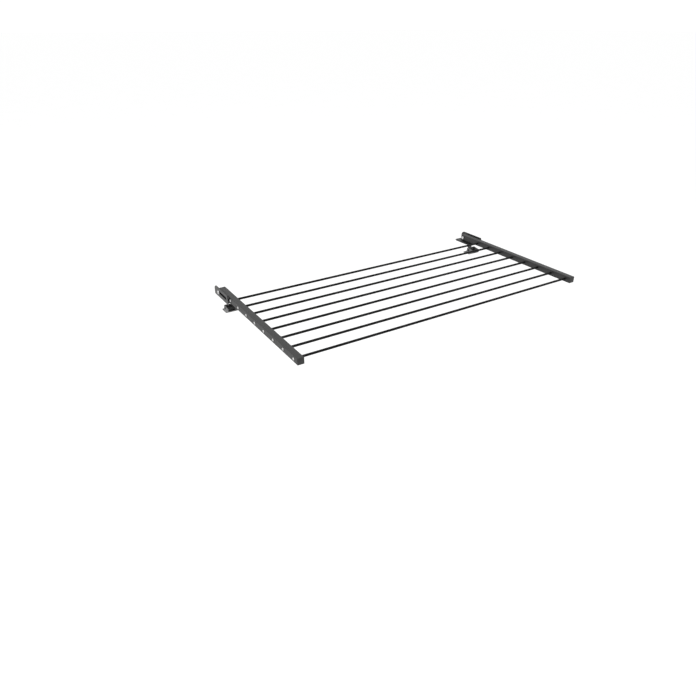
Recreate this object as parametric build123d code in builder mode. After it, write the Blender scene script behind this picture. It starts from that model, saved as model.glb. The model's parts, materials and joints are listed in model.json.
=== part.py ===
"""Fold-down drying rack that clamps on a balcony handrail.

Millimetres.  The origin lies midway between the two brackets, on the top face of the handrail,
straight below the pivot axis.  +X runs along the handrail, -Y is the side the rack stands out to,
+Z is up.  The right-hand pieces are modelled and the left-hand ones are their mirror image.
"""
from build123d import *
import os

# ---------------------------------------------------------------- driving dimensions
span = 1250.0               # clear width between the two arms
arm_size = 25.0             # square tube of the arms
arm_wall = 2.0
arm_corner = 1.2            # outer corner radius of the tube
arm_length = 672.0          # over both end caps
pivot_z = 23.5              # pivot axis above the handrail
pivot_from_rear = 13.5      # pivot axis ahead of the arm's rear end
rod_count = 8
rod_d = 9.0
rod_pitch = 75.5
first_rod = 27.0            # front rod axis behind the arm's front end
slot_travel = 74.0          # how far the pivots slide
plate_t = 4.0               # side plate of the bracket
flange_t = 3.0              # its base flange
plate_gap = 4.0             # between arm and side plate
plate_front = 18.0          # side plate ahead of the forward pivot position
plate_rear = 46.0           # side plate and flange behind the pivot axis at rest
plate_top = 17.0            # side plate above the pivot axis
plate_tail_r = 18.0         # its rear top corner
plate_nose_r = 14.0         # its front bottom corner
plate_corner_r = 6.0        # its other corners
base_pad_t = 2.5
inboard_strip = 13.0        # flange beyond the arm's inner face
flange_front = 59.0
rail_front = 40.0           # handrail's front face ahead of the pivot axis
rail_height = 37.0          # handrail thickness that the clamp grips
fork_reach = 84.0           # front of the fork prongs ahead of the pivot axis
fork_t = 3.0
fork_clear = 2.0            # between the folded arm and each lug
clearance = 0.05            # radial, for running fits

# ---------------------------------------------------------------- worked out sizes
half = arm_size / 2
arm_in = span / 2
arm_out = arm_in + arm_size
arm_mid = arm_in + half
arm_rear = pivot_from_rear
arm_front = pivot_from_rear - arm_length
rod_end = arm_out - arm_wall
rod_ys = [arm_front + first_rod + rod_pitch * i for i in range(rod_count)]

plate_in = arm_out + plate_gap
plate_out = plate_in + plate_t
flange_bottom = base_pad_t
flange_top = flange_bottom + flange_t
flange_in = arm_in - inboard_strip

bush_r = 5.95
slot_r = bush_r + clearance
pivot_r = 4.0
screw_bore_r = pivot_r + clearance
bush_flange_r = 9.0
washer_r = 8.0
washer_t = 1.2
pivot_head_r = 7.0
pivot_head_t = 4.0
end_play = 0.3
face_gap = 0.1              # between the bush's end and the washer that turns on it
pivot_socket = 5.0
nut_t = 6.5
nut_flats = 13.0
thread_past_nut = 1.0

rod_screw_r = 2.4
rod_screw_head_r = 5.0
rod_screw_head_t = 3.0
rod_screw_length = 11.0
rod_tapping = rod_screw_length + 1.0
rod_screw_socket = 3.0
dome_share = 0.75           # part of a button head's height that is domed
shoulder_share = 0.3        # dome height below its shoulder
shoulder_r_share = 0.78
crown_r_share = 0.45
socket_share = 0.6          # socket depth in a head

lug_t = 3.0
lug_in = half + fork_clear
lug_front = 66.0
lug_rear = 46.0
lug_root_rear = 41.0        # the lug is wider where it leaves the flange
lug_root_bottom = -13.0
lug_bottom = -33.0
neck_width = 20.0           # web beside the lug, hanging in front of the handrail
neck_rear = 43.0
neck_front = 46.0
neck_bottom = -13.0
lug_corner_r = 3.0
flange_corner_r = 9.0
flange_root_front = 56.0    # where the flange meets the side plate
flange_root_rear = 37.0
cross_bolt_y = -54.0
cross_bolt_z = -25.0
cross_bolt_r = 3.0
spacer_r = 5.0
fork_head_r = 5.25
fork_head_t = 1.8
fork_socket = 4.0
fork_nut_t = 3.2
fork_nut_flats = 10.0

web_t = 3.0
foot_t = 4.0
foot_bottom = -45.0
foot_top = foot_bottom + foot_t
foot_rear = -20.0
foot_front = -60.0
fork_top_rear = -13.0
fork_top_front = -19.0
fork_low_front = -33.0
fork_corner_r = 3.0
web_top = -16.0
face_pad_top = -17.0
face_pad_inset = 2.0

grub_r = 4.0
grub_y = -30.0
grub_top = -39.0
grub_length = 8.0
grub_point_r = 2.4
grub_point = 1.5
grub_socket = 4.0
grub_socket_depth = 4.0
clamp_pad_r = 8.0
clamp_pad_edge = 0.6

cap_t = 3.0
cap_plug = 5.0
cap_edge = 1.5

base_pad_inset = 2.0
base_pad_corner_r = 6.0
rest_front = -44.0
rest_rear = -20.0
rest_inset = 2.0
rest_corner_r = 3.0

mount_hole_r = 2.75
mount_x = arm_in - inboard_strip / 2
mount_y = 32.5

os.makedirs("parts", exist_ok=True)


def save(part, label):
    """Name one finished piece and write it."""
    part.label = label
    export_step(part, f"parts/{label}.step")


def save_pair(part, label):
    """Write the right-hand piece and its mirror image as the left-hand one."""
    save(mirror(part, about=Plane.YZ), f"{label}_left")
    save(part, f"{label}_right")


def side_plane(x):
    """Sketch plane square to X: local x runs along +Y and local y along +Z."""
    return Plane(origin=(x, 0, 0), x_dir=(0, 1, 0), z_dir=(1, 0, 0))


# ---------------------------------------------------------------- arms and their end caps
with BuildPart() as arm:
    with BuildSketch(Plane.XZ.offset(-(arm_rear - cap_t))):
        with Locations((arm_mid, pivot_z)):
            RectangleRounded(arm_size, arm_size, arm_corner)
            Rectangle(arm_size - 2 * arm_wall, arm_size - 2 * arm_wall, mode=Mode.SUBTRACT)
    extrude(amount=arm_length - 2 * cap_t)
    # rods go through the inner wall and butt against the outer one
    with BuildSketch(side_plane(arm_in)):
        with Locations([(y, pivot_z) for y in rod_ys]):
            Circle(rod_d / 2)
    extrude(amount=arm_wall, mode=Mode.SUBTRACT)
    with BuildSketch(side_plane(arm_out)):
        with Locations([(y, pivot_z) for y in rod_ys]):
            Circle(rod_screw_r)
    extrude(amount=-arm_wall, mode=Mode.SUBTRACT)
    with BuildSketch(side_plane(arm_in)):
        with Locations((0, pivot_z)):
            Circle(pivot_r)
    extrude(amount=arm_size, mode=Mode.SUBTRACT)
save_pair(arm.part, "arm")


def end_cap(end_y, outward):
    """Plastic plug: a flat head outside the tube and a shorter plug inside it."""
    plug_size = arm_size - 2 * arm_wall
    with BuildPart() as cap:
        with BuildSketch(Plane.XZ.offset(-end_y)):
            with Locations((arm_mid, pivot_z)):
                RectangleRounded(arm_size, arm_size, arm_corner)
        extrude(amount=outward * cap_t)
        end_face = cap.faces().sort_by(Axis.Y)[-1 if outward < 0 else 0]
        # the head's outer edge is rounded, so the arm can tip up without catching the flange
        fillet(end_face.edges().filter_by(GeomType.LINE), cap_edge)
        with BuildSketch(Plane.XZ.offset(-end_y)):
            with Locations((arm_mid, pivot_z)):
                Rectangle(plug_size, plug_size)
        extrude(amount=-outward * cap_plug)
    return cap.part


save_pair(end_cap(arm_front + cap_t, 1), "front_cap")
save_pair(end_cap(arm_rear - cap_t, -1), "rear_cap")

# ---------------------------------------------------------------- drying rods
for number, y in enumerate(reversed(rod_ys), start=1):
    with BuildPart() as rod:
        with BuildSketch(side_plane(-rod_end)):
            with Locations((y, pivot_z)):
                Circle(rod_d / 2)
        extrude(amount=2 * rod_end)
        # tapped at both ends for the rod screws
        with BuildSketch(side_plane(-rod_end), side_plane(rod_end - rod_tapping)):
            with Locations((y, pivot_z)):
                Circle(rod_screw_r)
        extrude(amount=rod_tapping, mode=Mode.SUBTRACT)
    save(rod.part, f"rod_{number}")


def button_screw(x, y, z, head_r, head_t, shank_r, length, socket):
    """Button-head socket screw whose head rests on the plane at x, shank pointing to -X."""
    rim = head_t * (1 - dome_share)
    shoulder = head_t * (1 - dome_share * shoulder_share)
    crown_r = head_r * crown_r_share
    with BuildPart() as screw:
        with BuildSketch(Plane(origin=(x, y, z), x_dir=(1, 0, 0), z_dir=(0, -1, 0))):
            with BuildLine():
                Polyline((0, 0), (0, head_r), (rim, head_r))
                ThreePointArc((rim, head_r), (shoulder, head_r * shoulder_r_share), (head_t, crown_r))
                Polyline((head_t, crown_r), (head_t, 0), (0, 0))
            make_face()
        revolve(axis=Axis((x, y, z), (1, 0, 0)))
        with BuildSketch(side_plane(x)):
            with Locations((y, z)):
                Circle(shank_r)
        extrude(amount=-length)
        with BuildSketch(side_plane(x + head_t)):
            with Locations((y, z)):
                RegularPolygon(socket / 2, 6, major_radius=False)
        extrude(amount=-head_t * socket_share, mode=Mode.SUBTRACT)
    return screw.part


rod_screw_parts = [
    button_screw(arm_out, y, pivot_z, rod_screw_head_r, rod_screw_head_t, rod_screw_r,
                 rod_screw_length, rod_screw_socket)
    for y in rod_ys
]
save_pair(Compound(children=rod_screw_parts), "rod_screws")

# ---------------------------------------------------------------- pivot
washer_x = plate_out + end_play
head_x = washer_x + washer_t
pivot_length = head_x - arm_in + nut_t + thread_past_nut
save_pair(button_screw(head_x, 0, pivot_z, pivot_head_r, pivot_head_t, pivot_r, pivot_length,
                       pivot_socket), "pivot_screw")

with BuildPart() as pivot_washer:
    with BuildSketch(side_plane(washer_x)):
        with Locations((0, pivot_z)):
            Circle(washer_r)
            Circle(screw_bore_r, mode=Mode.SUBTRACT)
    extrude(amount=washer_t)
save_pair(pivot_washer.part, "pivot_washer")

with BuildPart() as pivot_nut:
    with BuildSketch(side_plane(arm_in)):
        with Locations((0, pivot_z)):
            RegularPolygon(nut_flats / 2, 6, major_radius=False)
            Circle(pivot_r, mode=Mode.SUBTRACT)
    extrude(amount=-nut_t)
save_pair(pivot_nut.part, "pivot_nut")

with BuildPart() as pivot_bush:
    with BuildSketch(side_plane(arm_out + end_play)):
        with Locations((0, pivot_z)):
            Circle(bush_flange_r)
            Circle(screw_bore_r, mode=Mode.SUBTRACT)
    extrude(amount=plate_gap - 2 * end_play)
    with BuildSketch(side_plane(plate_in - end_play)):
        with Locations((0, pivot_z)):
            Circle(bush_r)
            Circle(screw_bore_r, mode=Mode.SUBTRACT)
    extrude(amount=plate_t + 2 * end_play - face_gap)
save_pair(pivot_bush.part, "pivot_bush")

# ---------------------------------------------------------------- bracket
with BuildPart() as bracket:
    front_y = -slot_travel - plate_front
    plate_top_z = pivot_z + plate_top
    with BuildSketch(side_plane(plate_in)):
        with Locations(((front_y + plate_rear) / 2, (flange_bottom + plate_top_z) / 2)):
            Rectangle(plate_rear - front_y, plate_top_z - flange_bottom)
    extrude(amount=plate_t)
    corners = bracket.edges().filter_by(Axis.X)
    tail_top = corners.group_by(Axis.Z)[-1].sort_by(Axis.Y)[-1]
    nose_top = corners.group_by(Axis.Z)[-1].sort_by(Axis.Y)[0]
    tail_bottom = corners.group_by(Axis.Z)[0].sort_by(Axis.Y)[-1]
    nose_bottom = corners.group_by(Axis.Z)[0].sort_by(Axis.Y)[0]
    fillet(tail_top, plate_tail_r)
    fillet([nose_top, tail_bottom], plate_corner_r)
    fillet(nose_bottom, plate_nose_r)
    with BuildSketch(side_plane(plate_in)):
        with Locations((-slot_travel / 2, pivot_z)):
            SlotCenterToCenter(slot_travel, 2 * slot_r)
    extrude(amount=plate_t, mode=Mode.SUBTRACT)
    # base flange on the handrail
    with BuildSketch(Plane.XY.offset(flange_bottom)):
        with BuildLine():
            FilletPolyline((plate_in, -flange_front), (flange_in, -flange_front),
                           (flange_in, plate_rear), (plate_in, plate_rear),
                           radius=flange_corner_r)
            Line((plate_in, plate_rear), (plate_in, -flange_front))
        make_face()
        with Locations([(mount_x, -mount_y), (mount_x, mount_y)]):
            Circle(mount_hole_r, mode=Mode.SUBTRACT)
    extrude(amount=flange_t)
    # root of the side plate, where the flange meets it
    with BuildSketch(Plane.XY.offset(flange_bottom)):
        with Locations(((plate_in + plate_out) / 2, (flange_root_rear - flange_root_front) / 2)):
            Rectangle(plate_t, flange_root_rear + flange_root_front)
    extrude(amount=flange_t)
    # lug on the inboard side that carries the fork
    with BuildSketch(side_plane(arm_mid - lug_in - lug_t)):
        with Locations((-(lug_front + lug_rear) / 2, (flange_top + lug_bottom) / 2)):
            RectangleRounded(lug_front - lug_rear, flange_top - lug_bottom, lug_corner_r)
        with Locations((-(lug_front + lug_root_rear) / 2, (flange_top + lug_root_bottom) / 2)):
            RectangleRounded(lug_front - lug_root_rear, flange_top - lug_root_bottom, lug_corner_r)
        with Locations((cross_bolt_y, cross_bolt_z)):
            Circle(cross_bolt_r + clearance, mode=Mode.SUBTRACT)
    extrude(amount=lug_t)
    # web that stiffens the lug
    with BuildSketch(Plane.XY.offset(neck_bottom)):
        with Locations((arm_mid - lug_in - lug_t + neck_width / 2, -(neck_front + neck_rear) / 2)):
            Rectangle(neck_width, neck_front - neck_rear)
    extrude(amount=flange_top - neck_bottom)
save_pair(bracket.part, "bracket")

# ---------------------------------------------------------------- clamp fork
fork_half = lug_in + lug_t + fork_t
with BuildPart() as clamp_fork:
    for cheek_x in (arm_mid - fork_half, arm_mid + fork_half - fork_t):
        with BuildSketch(side_plane(cheek_x)):
            with BuildLine():
                FilletPolyline((-lug_rear, foot_top), (-lug_rear, fork_top_rear),
                               (-fork_reach, fork_top_front), (-fork_reach, fork_low_front),
                               (foot_front, foot_bottom), (foot_rear, foot_bottom),
                               radius=fork_corner_r)
                Polyline((foot_rear, foot_bottom), (foot_rear, foot_top), (-lug_rear, foot_top))
            make_face()
            with Locations((cross_bolt_y, cross_bolt_z)):
                Circle(cross_bolt_r + clearance, mode=Mode.SUBTRACT)
        extrude(amount=fork_t)
    with BuildSketch(Plane.XY.offset(foot_bottom)):
        with Locations((arm_mid, (foot_front + foot_rear) / 2)):
            Rectangle(2 * fork_half, foot_rear - foot_front)
        with Locations((arm_mid, grub_y)):
            Circle(grub_r + clearance, mode=Mode.SUBTRACT)
    extrude(amount=foot_t)
    with BuildSketch(Plane.XZ.offset(lug_rear)):
        with Locations((arm_mid, (web_top + foot_bottom) / 2)):
            Rectangle(2 * fork_half, web_top - foot_bottom)
    extrude(amount=-web_t)
save_pair(clamp_fork.part, "clamp_fork")

with BuildPart() as face_pad:
    with BuildSketch(Plane.XZ.offset(lug_rear - web_t)):
        with Locations((arm_mid, (face_pad_top - rail_height) / 2)):
            Rectangle(2 * (fork_half - face_pad_inset), rail_height + face_pad_top)
    extrude(amount=-(lug_rear - web_t - rail_front))
save_pair(face_pad.part, "face_pad")

# ---------------------------------------------------------------- cross bolt of the fork
bolt_seat = arm_mid + fork_half
bolt_grip = 2 * fork_half
bolt_length = bolt_grip + fork_nut_t + thread_past_nut
save_pair(button_screw(bolt_seat, cross_bolt_y, cross_bolt_z, fork_head_r, fork_head_t, cross_bolt_r,
                       bolt_length, fork_socket), "fork_bolt")

with BuildPart() as fork_nut:
    with BuildSketch(side_plane(bolt_seat - bolt_grip)):
        with Locations((cross_bolt_y, cross_bolt_z)):
            RegularPolygon(fork_nut_flats / 2, 6, major_radius=False)
            Circle(cross_bolt_r, mode=Mode.SUBTRACT)
    extrude(amount=-fork_nut_t)
save_pair(fork_nut.part, "fork_nut")

with BuildPart() as fork_spacer:
    with BuildSketch(side_plane(arm_mid - lug_in)):
        with Locations((cross_bolt_y, cross_bolt_z)):
            Circle(spacer_r)
            Circle(cross_bolt_r + clearance, mode=Mode.SUBTRACT)
    extrude(amount=2 * lug_in + lug_t)
save_pair(fork_spacer.part, "fork_spacer")

# ---------------------------------------------------------------- clamping screw and its pad
with BuildPart() as clamp_screw:
    with BuildSketch(Plane.XY.offset(grub_top)):
        with Locations((arm_mid, grub_y)):
            Circle(grub_r)
    extrude(amount=-grub_length)
    with BuildSketch(Plane.XY.offset(grub_top)):
        with Locations((arm_mid, grub_y)):
            Circle(grub_point_r)
    extrude(amount=grub_point)
    with BuildSketch(Plane.XY.offset(grub_top - grub_length)):
        with Locations((arm_mid, grub_y)):
            RegularPolygon(grub_socket / 2, 6, major_radius=False)
    extrude(amount=grub_socket_depth, mode=Mode.SUBTRACT)
save_pair(clamp_screw.part, "clamp_screw")

with BuildPart() as clamp_pad:
    with BuildSketch(Plane.XY.offset(grub_top)):
        with Locations((arm_mid, grub_y)):
            Circle(clamp_pad_r)
    extrude(amount=-rail_height - grub_top)
    fillet(clamp_pad.edges().group_by(Axis.Z)[0], clamp_pad_edge)
    with BuildSketch(Plane.XY.offset(grub_top)):
        with Locations((arm_mid, grub_y)):
            Circle(grub_point_r)
    extrude(amount=grub_point, mode=Mode.SUBTRACT)
save_pair(clamp_pad.part, "clamp_pad")

# ---------------------------------------------------------------- pads on the bracket
with BuildPart() as base_pad:
    with BuildSketch(Plane.XY):
        with Locations(((flange_in + plate_out) / 2, (plate_rear - rail_front) / 2)):
            RectangleRounded(plate_out - flange_in - 2 * base_pad_inset,
                             plate_rear + rail_front - 2 * base_pad_inset, base_pad_corner_r)
        with Locations([(mount_x, -mount_y), (mount_x, mount_y)]):
            Circle(mount_hole_r, mode=Mode.SUBTRACT)
    extrude(amount=base_pad_t)
save_pair(base_pad.part, "base_pad")

with BuildPart() as rest_pad:
    with BuildSketch(Plane.XY.offset(flange_top)):
        with Locations((arm_mid, (rest_front + rest_rear) / 2)):
            RectangleRounded(arm_size - 2 * rest_inset, rest_rear - rest_front, rest_corner_r)
    extrude(amount=pivot_z - half - flange_top)
save_pair(rest_pad.part, "rest_pad")
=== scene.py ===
"""Handrail drying rack: the finishes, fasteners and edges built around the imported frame.  Metres."""
import json
import math
import bpy
import bmesh
from mathutils import Euler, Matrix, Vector


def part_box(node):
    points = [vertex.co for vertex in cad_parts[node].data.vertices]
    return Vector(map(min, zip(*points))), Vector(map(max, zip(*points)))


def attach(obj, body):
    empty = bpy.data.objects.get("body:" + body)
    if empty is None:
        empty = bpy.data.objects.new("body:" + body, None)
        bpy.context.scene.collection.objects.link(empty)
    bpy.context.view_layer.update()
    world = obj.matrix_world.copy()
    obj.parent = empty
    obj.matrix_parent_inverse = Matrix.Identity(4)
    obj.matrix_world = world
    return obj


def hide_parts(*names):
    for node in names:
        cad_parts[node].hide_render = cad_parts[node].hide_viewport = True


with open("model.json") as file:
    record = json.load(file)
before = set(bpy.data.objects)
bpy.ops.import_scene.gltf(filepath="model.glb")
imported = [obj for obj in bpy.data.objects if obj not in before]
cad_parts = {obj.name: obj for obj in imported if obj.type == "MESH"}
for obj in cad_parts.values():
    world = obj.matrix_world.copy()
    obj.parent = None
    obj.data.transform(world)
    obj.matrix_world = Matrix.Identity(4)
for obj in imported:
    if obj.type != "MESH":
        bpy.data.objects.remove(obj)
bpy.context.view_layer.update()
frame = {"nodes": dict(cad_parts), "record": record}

MM = 0.001
SIDES = {"left": -1, "right": 1}
BODY_OF = {node: body
           for body, nodes in frame["record"]["behaviour"]["bodies"].items() for node in nodes}
SLOT_OF = {part["node"]: part["material_slot"] for part in frame["record"]["subparts"]}


# ---------------------------------------------------------------- places read from the frame
def middle(node):
    """Centre of a CAD node's box."""
    low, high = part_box(node)
    return (low + high) / 2


def outer_face(node, sign):
    """X of a node's face that looks away from the middle of the rack."""
    low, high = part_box(node)
    return high.x if sign > 0 else low.x


def inner_face(node, sign):
    """X of a node's face that looks towards the middle of the rack."""
    return outer_face(node, -sign)


ROD_NODES = sorted((n for n in frame["nodes"] if n.startswith("rod_") and n[4:].isdigit()),
                   key=lambda n: middle(n).y)
ROD_FIRST_Y = middle(ROD_NODES[0]).y
ROD_PITCH = (middle(ROD_NODES[-1]).y - ROD_FIRST_Y) / (len(ROD_NODES) - 1)
PIVOT_Z = middle("pivot_washer_right").z
SLIDE = 74.0 * MM           # travel of the pivots in the slots

# Hex key, shank radius, thread length and pitch of each kind of screw.
ROD_SCREW = {"socket": 3.0 * MM, "shank_r": 2.4 * MM, "pitch": 0.8 * MM}
ROD_SCREW_UNTHREADED = 1.5 * MM
THREAD_DEPTH = 0.54         # of the pitch
PIVOT_SCREW = {"socket": 5.0 * MM, "shank_r": 4.0 * MM, "threaded": 10.0 * MM, "pitch": 1.25 * MM}
FORK_BOLT = {"socket": 4.0 * MM, "shank_r": 3.0 * MM, "threaded": 10.0 * MM, "pitch": 1.0 * MM}


# ---------------------------------------------------------------- shader building
class Number:
    """A shader value that ordinary arithmetic can be written with."""

    def __init__(self, finish, socket):
        self.finish = finish
        self.socket = socket

    def maths(self, operation, *others):
        node = self.finish.node("ShaderNodeMath", {"operation": operation}, [self, *others])
        return Number(self.finish, node.outputs[0])

    def __add__(self, other):
        return self.maths("ADD", other)

    __radd__ = __add__

    def __mul__(self, other):
        return self.maths("MULTIPLY", other)

    __rmul__ = __mul__

    def __sub__(self, other):
        return self.maths("SUBTRACT", other)

    def __rsub__(self, other):
        return (self * -1) + other

    def __truediv__(self, other):
        return self.maths("DIVIDE", other)

    def band(self, low, high):
        """0 below low, 1 above high, smooth between them; low may be the larger."""
        node = self.finish.node("ShaderNodeMapRange", {"interpolation_type": "SMOOTHSTEP"},
                                {"Value": self, "From Min": low, "From Max": high})
        return Number(self.finish, node.outputs[0])


class Finish:
    """One procedural material on Object coordinates."""

    def __init__(self, name, **constants):
        self.material = bpy.data.materials.new(name)
        self.material.use_nodes = True
        self.tree = self.material.node_tree
        self.shader = self.tree.nodes["Principled BSDF"]
        for socket, value in constants.items():
            self.shader.inputs[socket.replace("_", " ")].default_value = value
        self.place = self.node("ShaderNodeTexCoord").outputs["Object"]

    def node(self, kind, settings=None, inputs=None):
        """Add a node: its settings first, then the values or links of its sockets."""
        node = self.tree.nodes.new(kind)
        for key, value in (settings or {}).items():
            setattr(node, key, value)
        pairs = inputs.items() if isinstance(inputs, dict) else enumerate(inputs or [])
        for key, value in pairs:
            value = value.socket if isinstance(value, Number) else value
            if isinstance(value, bpy.types.NodeSocket):
                self.tree.links.new(value, node.inputs[key])
            else:
                node.inputs[key].default_value = value
        return node

    def axes(self):
        """The three Object coordinates as numbers."""
        split = self.node("ShaderNodeSeparateXYZ", inputs=[self.place])
        return [Number(self, out) for out in split.outputs]

    def stretched(self, scale):
        """Object coordinates with each axis scaled."""
        return self.node("ShaderNodeMapping", inputs={"Vector": self.place, "Scale": scale}).outputs[0]

    def noise(self, per_metre, detail=3.0, roughness=0.55, place=None):
        node = self.node("ShaderNodeTexNoise", {"noise_dimensions": "3D"},
                         {"Vector": place or self.place, "Scale": per_metre, "Detail": detail,
                          "Roughness": roughness})
        return Number(self, node.outputs["Fac"])

    def specks(self, per_metre):
        node = self.node("ShaderNodeTexVoronoi", {"feature": "F1"},
                         {"Vector": self.place, "Scale": per_metre, "Randomness": 1.0})
        return Number(self, node.outputs["Distance"])

    def mix(self, share, first, second):
        node = self.node("ShaderNodeMix", {"data_type": "RGBA"},
                         {"Factor": share, 6: first, 7: second})
        return node.outputs[2]

    def bump(self, height, depth, strength=1.0):
        node = self.node("ShaderNodeBump", inputs={"Height": height, "Distance": depth,
                                                   "Strength": strength})
        self.set("Normal", node.outputs[0])

    def set(self, socket, value):
        value = value.socket if isinstance(value, Number) else value
        self.tree.links.new(value, self.shader.inputs[socket])


def grey(value, warm=0.0):
    return (value * (1 + warm), value, value * (1 - warm), 1)


def powder_coat(name, value, gloss=0.40, slot_rub=False, drawn=False):
    """Powder coat: orange peel, fine sparkle, faint mottling and scuffs where it is handled.

    slot_rub wears the coat along the bracket's slot; drawn adds the faint die lines of a tube.
    """
    coat = Finish(name, Specular_IOR_Level=0.36)
    peel = coat.noise(620, 2.0) * 0.6 + coat.noise(1900, 2.0) * 0.4
    grain = coat.specks(2600).band(0.10, 0.55)
    mottle = coat.noise(38, 4.0).band(0.35, 0.68)
    scuffs = coat.noise(120, 5.0, 0.7, coat.stretched((1, 0.25, 1))).band(0.62, 0.74)
    shade = coat.mix(mottle, grey(value * 0.84, 0.01), grey(value * 1.12, -0.01))
    shade = coat.mix(grain * 0.35, shade, grey(value * 0.55))
    shade = coat.mix(scuffs * 0.35, shade, grey(value * 1.9 + 0.01))
    rough = mottle * 0.07 + (gloss - 0.05) + scuffs * 0.10 + grain * 0.05
    height = peel * 0.75 + grain * 0.25
    if drawn:
        lines = coat.noise(900, 3.0, 0.6, coat.stretched((1, 0.01, 1)))
        rough = rough + lines * 0.06
        height = height * 0.8 + lines * 0.2
    if slot_rub:
        _, y, z = coat.axes()
        along = ((y + SLIDE / 2).maths("ABSOLUTE") - SLIDE / 2).maths("MAXIMUM", 0.0)
        across = z - PIVOT_Z
        distance = (along * along + across * across).maths("SQRT")
        streaks = coat.noise(900, 3.0, 0.6, coat.stretched((1, 0.05, 1))).band(0.42, 0.66)
        rub = distance.band(11.5 * MM, 7.0 * MM) * streaks
        shade = coat.mix(rub * 0.55, shade, grey(value * 2.6 + 0.02))
        rough = rough - rub * 0.10
    coat.set("Base Color", shade)
    coat.set("Roughness", rough)
    coat.bump(height, 0.10 * MM, 0.7)
    return coat.material


def rod_coat(name):
    """Near-black coat on drawn rod: long fine lines along the rod and pale rub marks on top."""
    coat = Finish(name, Specular_IOR_Level=0.12)
    lines = coat.noise(1500, 3.0, 0.6, coat.stretched((0.012, 1, 1)))
    patches = coat.noise(9, 4.0, 0.6).band(0.45, 0.72)
    _, y, z = coat.axes()
    top = (z - PIVOT_Z).band(1.0 * MM, 3.9 * MM)
    rub = top * patches * coat.noise(260, 4.0, 0.7, coat.stretched((0.4, 1, 1))).band(0.50, 0.66)
    shade = coat.mix(patches, grey(0.0035), grey(0.0060))
    shade = coat.mix(rub * 0.5, shade, grey(0.022))
    coat.set("Base Color", shade)
    coat.set("Roughness", lines * 0.10 + 0.46 + rub * 0.10)
    coat.bump(lines * 0.5 + coat.noise(900, 2.0) * 0.5, 0.03 * MM, 0.5)
    return coat.material


def turned_steel(name, radius_from, shade_value=0.55):
    """Bright turned stainless: fine rings around the screw's own axis, soft handling marks."""
    steel = Finish(name, Specular_IOR_Level=0.5)
    steel.shader.inputs["Metallic"].default_value = 1.0
    radius = radius_from(steel)
    wave = (radius * (2 * math.pi / (0.22 * MM)) + steel.noise(300, 2.0) * 3.0).maths("SINE")
    rings = wave * 0.5 + 0.5
    smear = steel.noise(420, 4.0, 0.6).band(0.38, 0.70)
    steel.set("Base Color", steel.mix(smear, grey(shade_value), grey(shade_value * 1.18, 0.01)))
    steel.set("Roughness", rings * 0.07 + smear * 0.08 + 0.22)
    steel.bump(rings, 0.008 * MM, 0.5)
    return steel.material


def about_pivot(steel):
    _, y, z = steel.axes()
    across = z - PIVOT_Z
    return (y * y + across * across).maths("SQRT")


def about_rods(steel):
    """Distance from the nearest rod axis."""
    _, y, z = steel.axes()
    turn = ((y - ROD_FIRST_Y) / ROD_PITCH + 0.5).maths("FLOORED_MODULO", 1.0)
    along = (turn - 0.5) * ROD_PITCH
    across = z - PIVOT_Z
    return (along * along + across * across).maths("SQRT")


def moulded(name, value, rough=0.55, grain=1800, depth=0.03):
    """Moulded plastic: spark-eroded grain, slight flow mottling and dulled high spots."""
    plastic = Finish(name, Specular_IOR_Level=0.34)
    texture = plastic.noise(grain, 3.0, 0.6)
    flow = plastic.noise(90, 3.0, 0.5, plastic.stretched((1, 0.4, 1))).band(0.35, 0.7)
    plastic.set("Base Color", plastic.mix(flow, grey(value * 0.85), grey(value * 1.2)))
    plastic.set("Roughness", texture * 0.12 + (rough - 0.06) + flow * 0.05)
    plastic.bump(texture, depth * MM, 0.6)
    return plastic.material


def rubber(name):
    """Sheet rubber: matt, finely pitted, with pale dust in the pits."""
    sheet = Finish(name, Specular_IOR_Level=0.2)
    pits = sheet.specks(1300).band(0.05, 0.42)
    dust = sheet.noise(160, 5.0, 0.65).band(0.52, 0.75)
    sheet.set("Base Color", sheet.mix(dust * 0.5, grey(0.010), grey(0.035, 0.03)))
    sheet.set("Roughness", dust * 0.10 + 0.78)
    sheet.bump(pits * 0.6 + sheet.noise(700, 3.0) * 0.4, 0.06 * MM, 0.6)
    return sheet.material


def blackened(name):
    """Black zinc on steel: deep grey with a faint blue and brown drift, small bright nicks."""
    steel = Finish(name, Specular_IOR_Level=0.5)
    steel.shader.inputs["Metallic"].default_value = 0.35
    drift = steel.noise(210, 3.0).band(0.3, 0.7)
    nicks = steel.noise(1400, 4.0, 0.7).band(0.70, 0.78)
    shade = steel.mix(drift, (0.012, 0.013, 0.016, 1), (0.022, 0.020, 0.018, 1))
    steel.set("Base Color", steel.mix(nicks, shade, grey(0.12)))
    steel.set("Roughness", drift * 0.10 + 0.34 - nicks * 0.08)
    steel.bump(steel.noise(1500, 2.0), 0.02 * MM, 0.5)
    return steel.material


FINISHES = {
    "arm_aluminium": powder_coat("arm_powder_coat", 0.021, gloss=0.42, drawn=True),
    "bracket_steel": powder_coat("bracket_powder_coat", 0.024, gloss=0.40, slot_rub=True),
    "fork_steel": powder_coat("fork_powder_coat", 0.15, gloss=0.44),
    "rod_steel": rod_coat("rod_powder_coat"),
    "end_cap_plastic": moulded("end_cap_plastic_grain", 0.026),
    "bush_nylon": moulded("black_nylon", 0.008, rough=0.48, grain=1100, depth=0.02),
    "pad_rubber": rubber("pad_sheet_rubber"),
    "black_steel": blackened("black_zinc"),
    "stainless_steel": turned_steel("turned_stainless", about_pivot),
}
ROD_SCREW_STEEL = turned_steel("rod_screw_stainless", about_rods)


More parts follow.
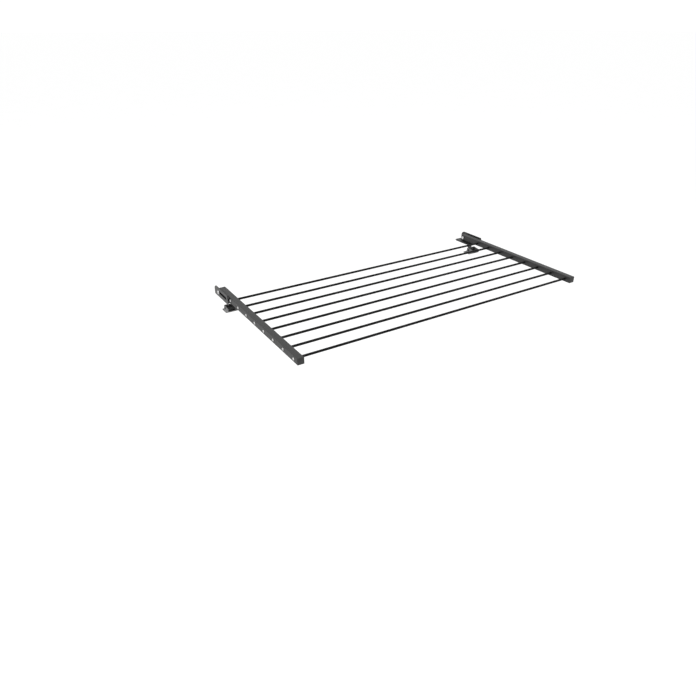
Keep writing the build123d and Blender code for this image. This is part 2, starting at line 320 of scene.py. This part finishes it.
# ---------------------------------------------------------------- meshes
def closed_mesh(name, work, sharp_degrees):
    """A smooth mesh object from a closed bmesh, normals outward, edges past the angle sharp."""
    bmesh.ops.recalc_face_normals(work, faces=work.faces)
    mesh = bpy.data.meshes.new(name)
    work.to_mesh(mesh)
    work.free()
    mesh.shade_smooth()
    mesh.set_sharp_from_angle(angle=math.radians(sharp_degrees))
    return new_object(name, mesh)


def new_object(name, mesh):
    made = bpy.data.objects.new(name, mesh)
    bpy.context.scene.collection.objects.link(made)
    return made


def settle(name, source):
    """The evaluated shape of an object with modifiers, as a plain mesh object."""
    bpy.context.view_layer.update()
    shape = bpy.data.meshes.new_from_object(source.evaluated_get(
        bpy.context.evaluated_depsgraph_get()))
    bpy.data.objects.remove(source)
    return new_object(name, shape)


def dress(piece, node, material):
    """Give a finished piece its material, body and slot, and let it stand for its CAD node."""
    piece.data.materials.clear()
    piece.data.materials.append(material)
    piece.data.polygons.foreach_set("material_index", [0] * len(piece.data.polygons))
    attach(piece, BODY_OF[node])
    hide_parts(node)


def add_on(piece, node, slot):
    """A finished piece that is fixed to a CAD node and hides none."""
    piece.data.materials.append(FINISHES[slot])
    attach(piece, BODY_OF[node])


def eased(node, edge):
    """A CAD node with its sharp edges rounded over, as a coated or moulded part has them."""
    source = frame["nodes"][node].data
    mesh = bpy.data.meshes.new(node + "_eased")
    work = bmesh.new()
    work.from_mesh(source)
    bmesh.ops.remove_doubles(work, verts=work.verts, dist=1e-6)
    bmesh.ops.dissolve_limit(work, angle_limit=math.radians(0.6), verts=work.verts, edges=work.edges)
    work.verts.index_update()
    mesh.from_pydata([v.co[:] for v in work.verts], [],
                     [[v.index for v in f.verts] for f in work.faces])
    work.free()
    mesh.shade_smooth()
    blank = new_object(node + "_blank", mesh)
    bevel = blank.modifiers.new("ease", "BEVEL")
    bevel.width = edge
    bevel.segments = 3
    bevel.limit_method = "ANGLE"
    bevel.angle_limit = math.radians(38)
    bevel.harden_normals = True
    bevel.use_clamp_overlap = True
    dress(settle(node + "_eased", blank), node, FINISHES[SLOT_OF[node]])


def hex_radius(flats, angle):
    """Radius of a hexagon of that size across flats, at an angle from a flat's middle."""
    sixth = math.pi / 3
    return flats / 2 / math.cos((angle + sixth / 2) % sixth - sixth / 2)


def turned(name, origin, direction, rings, around=48):
    """A closed turned piece: rings of (distance along the axis, radius at an angle)."""
    work = bmesh.new()
    loops = []
    for along, radius in rings:
        loop = []
        for step in range(around):
            angle = 2 * math.pi * step / around
            reach = radius(angle) if callable(radius) else radius
            place = Vector((direction * along, reach * math.cos(angle), reach * math.sin(angle)))
            loop.append(work.verts.new(Vector(origin) + place))
        loops.append(loop)
    for first, second in zip(loops, loops[1:] + loops[:1]):
        for step in range(around):
            after = (step + 1) % around
            work.faces.new((first[step], second[step], second[after], first[after]))
    bmesh.ops.remove_doubles(work, verts=work.verts, dist=1e-7)
    return closed_mesh(name, work, 32)


def button_head(head_r, head_t, socket):
    """Rings of a button head, from under the rim, over the dome and down into the hex socket."""
    rim = head_t * 0.22
    crown = head_r * 0.48
    rings = [(0.0, head_r - 0.2 * MM), (0.12 * MM, head_r), (rim, head_r)]
    for step in range(1, 7):
        turn = math.pi / 2 * step / 7
        rings.append((rim + (head_t - rim) * math.sin(turn),
                      crown + (head_r - crown) * math.cos(turn)))
    rings.append((head_t, crown))
    lead_in = 0.25 * MM
    rings += [(head_t, socket / math.sqrt(3) + lead_in),
              (head_t - lead_in, lambda angle: hex_radius(socket, angle)),
              (head_t * 0.4, lambda angle: hex_radius(socket, angle)),
              (head_t * 0.4 - 0.3 * MM, 0.0)]
    return rings


def threaded_shank(radius, length, threaded, pitch):
    """Rings of a shank from its tip to under the head; the stretch at the tip is a real helix."""
    depth = pitch * THREAD_DEPTH
    tip_r = radius - depth - 0.1 * MM
    rings = [(-length, 0.0), (-length, tip_r)]
    per_turn = 8
    count = int(threaded / pitch * per_turn)
    for step in range(1, count):
        along = -length + threaded * step / count
        ease = min(1.0, (along + length) / depth, (-length + threaded - along) / pitch)

        def groove(angle, along=along, ease=ease):
            share = (along / pitch + angle / (2 * math.pi)) % 1.0
            crest = abs(2 * share - 1)
            return radius - depth * (1 - crest) * max(ease, 0.0)

        rings.append((along, groove))
    rings += [(-length + threaded, radius), (0.0, radius)]
    return rings


def screw_rings(head_r, head_t, length, socket, shank_r, threaded, pitch):
    return (threaded_shank(shank_r, length, threaded, pitch)
            + button_head(head_r, head_t, socket))


def lock_nut(name, origin, direction, flats, height, bore):
    """Hex lock nut with chamfered corners and a round collar that holds the insert."""
    flat_r = flats / 2
    corner_r = flats / math.sqrt(3)
    hex_top = height * 0.74
    slope = math.tan(math.radians(30))
    lip = 0.5 * MM

    def body(along):
        cone = flat_r + min(along, hex_top - along) / slope
        return lambda angle: min(hex_radius(flats, angle), cone, corner_r)

    rings = [(0.0, bore), (0.0, flat_r * 0.96)]
    rings += [(hex_top * share, body(hex_top * share))
              for share in (0.03, 0.08, 0.16, 0.5, 0.84, 0.92, 0.97)]
    rings += [(hex_top, flat_r * 0.94), (height - lip, flat_r * 0.90),
              (height - 0.12 * MM, flat_r * 0.86), (height, flat_r * 0.80),
              (height, bore + 0.6 * MM), (height - lip, bore)]
    return turned(name, origin, direction, rings, around=72)


def nut_insert(name, node, origin, direction, height, bore):
    """The nylon ring in the mouth of a lock nut."""
    wall = 0.55 * MM
    bottom = height - 1.6 * MM
    shoulder = height - 0.25 * MM
    top = height - 0.12 * MM
    rings = [(bottom, bore), (bottom, bore + wall), (shoulder, bore + wall),
             (top, bore + wall * 0.8), (top, bore + wall * 0.3), (shoulder, bore)]
    add_on(turned(name, origin, direction, rings), node, "bush_nylon")


# ---------------------------------------------------------------- rod screws, one row for each arm
def row_tree():
    """Geometry Nodes: copies of one screw at equal pitch along +Y, each turned at random."""
    tree = bpy.data.node_groups.new("screw_row", "GeometryNodeTree")
    side = tree.interface
    side.new_socket("Geometry", in_out="OUTPUT", socket_type="NodeSocketGeometry")
    for label, kind in (("Screw", "NodeSocketObject"), ("Count", "NodeSocketInt"),
                        ("Start", "NodeSocketVector"), ("Step", "NodeSocketVector"),
                        ("Seed", "NodeSocketInt"), ("Steel", "NodeSocketMaterial")):
        side.new_socket(label, in_out="INPUT", socket_type=kind)
    group_in = tree.nodes.new("NodeGroupInput")
    group_out = tree.nodes.new("NodeGroupOutput")

    def add(kind, settings=None, **links):
        node = tree.nodes.new(kind)
        for key, value in (settings or {}).items():
            setattr(node, key, value)
        for key, value in links.items():
            socket = node.inputs[key.replace("_", " ")]
            if isinstance(value, bpy.types.NodeSocket):
                tree.links.new(value, socket)
            else:
                socket.default_value = value
        return node

    inputs = group_in.outputs
    line = add("GeometryNodeMeshLine", {"mode": "OFFSET"}, Count=inputs["Count"],
               Start_Location=inputs["Start"], Offset=inputs["Step"])
    screw = add("GeometryNodeObjectInfo", {"transform_space": "ORIGINAL"}, Object=inputs["Screw"])
    turn = add("FunctionNodeRandomValue", {"data_type": "FLOAT_VECTOR"}, Seed=inputs["Seed"])
    turn.inputs["Min"].default_value = (0, 0, 0)
    turn.inputs["Max"].default_value = (math.tau, 0, 0)
    spin = add("FunctionNodeEulerToRotation", Euler=turn.outputs[0])
    copies = add("GeometryNodeInstanceOnPoints", Points=line.outputs[0],
                 Instance=screw.outputs["Geometry"], Rotation=spin.outputs[0])
    real = add("GeometryNodeRealizeInstances", Geometry=copies.outputs[0])
    finish = add("GeometryNodeSetMaterial", Geometry=real.outputs[0], Material=inputs["Steel"])
    tree.links.new(finish.outputs[0], group_out.inputs[0])
    return tree


def rod_screw_rows():
    tree = row_tree()
    sockets = {item.name: item.identifier for item in tree.interface.items_tree
               if item.in_out == "INPUT"}
    for side, sign in SIDES.items():
        node = "rod_screws_" + side
        low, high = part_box(node)
        face = outer_face("arm_" + side, sign)
        head_t = abs(outer_face(node, sign) - face)
        length = high.x - low.x - head_t
        one = turned("one_rod_screw", (0, 0, 0), sign,
                     screw_rings((high.z - low.z) / 2, head_t, length=length,
                                 threaded=length - ROD_SCREW_UNTHREADED, **ROD_SCREW), around=36)
        holder = new_object("screw_row_" + side, bpy.data.meshes.new("empty_row"))
        row = holder.modifiers.new("row", "NODES")
        row.node_group = tree
        row[sockets["Screw"]] = one
        row[sockets["Count"]] = len(ROD_NODES)
        row[sockets["Start"]] = (face, ROD_FIRST_Y, PIVOT_Z)
        row[sockets["Step"]] = (0.0, ROD_PITCH, 0.0)
        row[sockets["Seed"]] = 7 if sign > 0 else 3
        row[sockets["Steel"]] = ROD_SCREW_STEEL
        dress(settle(node + "_turned", holder), node, ROD_SCREW_STEEL)
        bpy.data.objects.remove(one)


# ---------------------------------------------------------------- single fasteners
def screw_and_nut(screw, seat_node, nut, sign, sizes):
    """A through screw, its head seated on the outer face of seat_node, and its lock nut."""
    low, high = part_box(screw)
    centre = middle(screw)
    seat = outer_face(seat_node, sign)
    rings = screw_rings((high.z - low.z) / 2, abs(outer_face(screw, sign) - seat),
                        abs(seat - inner_face(screw, sign)), **sizes)
    dress(turned(screw + "_turned", (seat, centre.y, centre.z), sign, rings), screw,
          FINISHES[SLOT_OF[screw]])
    low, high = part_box(nut)
    base = (outer_face(nut, sign), centre.y, centre.z)
    height = high.x - low.x
    dress(lock_nut(nut + "_turned", base, -sign, high.z - low.z, height, sizes["shank_r"]), nut,
          FINISHES[SLOT_OF[nut]])
    return base, height


def pivot_fasteners():
    for side, sign in SIDES.items():
        nut = "pivot_nut_" + side
        base, height = screw_and_nut("pivot_screw_" + side, "pivot_washer_" + side, nut, sign,
                                     PIVOT_SCREW)
        nut_insert(f"pivot_insert_{side}", nut, base, -sign, height,
                   PIVOT_SCREW["shank_r"] + 0.02 * MM)


def fork_fasteners():
    for side, sign in SIDES.items():
        screw_and_nut("fork_bolt_" + side, "clamp_fork_" + side, "fork_nut_" + side, sign, FORK_BOLT)


# ---------------------------------------------------------------- weld beads of the brackets
PLATE_T = 4.0 * MM
LUG_T = 3.0 * MM
LUG_X = 621.5 * MM          # middle of the lug under the flange
WEB_FACE_Y = -46 * MM       # front face of the web beside the lug
PLATE_SEAM_Y = (-55 * MM, 36 * MM)
LUG_INNER_SEAM_Y = (-58 * MM, -42.5 * MM)
LUG_OUTER_SEAM_Y = (-58 * MM, -47.5 * MM)
WEB_SEAM_X = (625 * MM, 639.5 * MM)
PLATE_LEG = 2.4 * MM
LUG_LEG = 2.0 * MM


def weld_bead(name, node, start, end, first, second, leg):
    """A rippled fillet along a seam; first and second point from the seam along its two faces."""
    start, end, first, second = (Vector(v) for v in (start, end, first, second))
    length = (end - start).length
    ripple = 1.1 * MM
    rings_per_ripple = 6
    count = int(length / ripple * rings_per_ripple)
    arc_steps = 6
    sink = 0.05 * MM
    work = bmesh.new()
    loops = []
    for i in range(count + 1):
        share = i / count
        end_ease = math.sqrt(max(1.0 - (2 * share - 1) ** 30, 0.02))
        phase = (share * length / ripple) % 1.0
        reach = leg * end_ease * (0.90 + 0.10 * math.sqrt(1.0 - phase * 0.9))
        corner = start.lerp(end, share)
        ring = [corner - first * sink - second * sink]
        for step in range(arc_steps + 1):
            turn = math.pi / 2 * step / arc_steps
            bulge = reach * (1.0 - 0.22 * math.sin(2 * turn))
            ring.append(corner + first * (bulge * math.cos(turn) - sink)
                        + second * (bulge * math.sin(turn) - sink))
        loops.append([work.verts.new(place) for place in ring])
    for one, two in zip(loops, loops[1:]):
        for i in range(len(one)):
            j = (i + 1) % len(one)
            work.faces.new((one[i], one[j], two[j], two[i]))
    work.faces.new(loops[0])
    work.faces.new(reversed(loops[-1]))
    add_on(closed_mesh(name, work, 50), node, SLOT_OF[node])


def weld_beads():
    """Flange to side plate on top, lug and its web to the flange underneath."""
    flange_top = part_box("rest_pad_right")[0].z
    flange_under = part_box("base_pad_right")[1].z
    plate_in = outer_face("bracket_right", 1) - PLATE_T
    for side, sign in SIDES.items():
        node = "bracket_" + side
        out, inward, up, down, front = (sign, 0, 0), (-sign, 0, 0), (0, 0, 1), (0, 0, -1), (0, -1, 0)

        def along_y(name, x, z, seam, first, second, leg):
            start, end = ((sign * x, y, z) for y in seam)
            weld_bead(f"{name}_{side}", node, start, end, first, second, leg)

        along_y("plate_bead", plate_in, flange_top, PLATE_SEAM_Y, inward, up, PLATE_LEG)
        along_y("lug_bead_inner", LUG_X - LUG_T / 2, flange_under, LUG_INNER_SEAM_Y, inward, down,
                LUG_LEG)
        along_y("lug_bead_outer", LUG_X + LUG_T / 2, flange_under, LUG_OUTER_SEAM_Y, out, down,
                LUG_LEG)
        start, end = ((sign * x, WEB_FACE_Y, flange_under) for x in WEB_SEAM_X)
        weld_bead(f"web_bead_{side}", node, start, end, front, down, LUG_LEG)


# ---------------------------------------------------------------- eased plates, tubes and mouldings
# Edge radius in millimetres of each kind of node.
EDGES = {"arm": 0.25, "front_cap": 0.3, "rear_cap": 0.3, "bracket": 0.45, "clamp_fork": 0.4,
         "rest_pad": 0.5, "base_pad": 0.25, "face_pad": 0.4, "clamp_pad": 0.2, "pivot_washer": 0.15,
         "pivot_bush": 0.15, "fork_spacer": 0.3, "clamp_screw": 0.12}


def eased_parts():
    for kind, edge in EDGES.items():
        for side in SIDES:
            eased(f"{kind}_{side}", edge * MM)


def coated_rods():
    for rod in ROD_NODES:
        frame["nodes"][rod].material_slots[0].material = FINISHES["rod_steel"]


# ---------------------------------------------------------------- floor, light and camera
def stage():
    """A wide pale floor far below the rack."""
    half = 150.0
    floor_z = -1.06
    mesh = bpy.data.meshes.new("floor")
    mesh.from_pydata([(-half, -half, floor_z), (half, -half, floor_z), (half, half, floor_z),
                      (-half, half, floor_z)], [], [(0, 1, 2, 3)])
    floor = new_object("studio_floor", mesh)
    paper = Finish("studio_paper", Specular_IOR_Level=0.0)
    paper.set("Base Color", paper.mix(paper.noise(2.0), grey(0.93), grey(0.95)))
    paper.set("Roughness", paper.noise(6.0) * 0.05 + 0.9)
    floor.data.materials.append(paper.material)


def area_light(name, place, target, width, watts):
    data = bpy.data.lights.new(name, "AREA")
    data.size = width
    data.energy = watts
    lamp = bpy.data.objects.new(name, data)
    lamp.location = place
    lamp.rotation_euler = (Vector(target) - Vector(place)).to_track_quat("-Z", "Y").to_euler()
    bpy.context.scene.collection.objects.link(lamp)


def studio():
    world = bpy.data.worlds.new("studio")
    world.use_nodes = True
    sky = world.node_tree.nodes["Background"].inputs
    sky["Color"].default_value = (1, 1, 1, 1)
    sky["Strength"].default_value = 1.06
    bpy.context.scene.world = world
    rack_middle = (0, -0.3, 0)
    area_light("overhead", (-1.0, 0.8, 6.0), rack_middle, width=5.0, watts=70)
    area_light("key", (-4.5, -1.0, 3.0), rack_middle, width=2.5, watts=25)
    bpy.context.scene.view_settings.view_transform = "Standard"


def camera():
    """From high in front of the left end, looking down and across the rack."""
    down = math.radians(28.90)
    across = math.radians(-31.92)
    data = bpy.data.cameras.new("camera")
    data.lens = 30.62
    data.sensor_width = 36.0
    data.clip_start = 0.02
    eye = bpy.data.objects.new("camera", data)
    eye.location = (-1.3692, -2.1146, 0.9678)
    eye.rotation_euler = Euler((math.pi / 2 - down, 0, across))
    bpy.context.scene.collection.objects.link(eye)
    bpy.context.scene.camera = eye


eased_parts()
weld_beads()
rod_screw_rows()
pivot_fasteners()
fork_fasteners()
coated_rods()
stage()
studio()
camera()
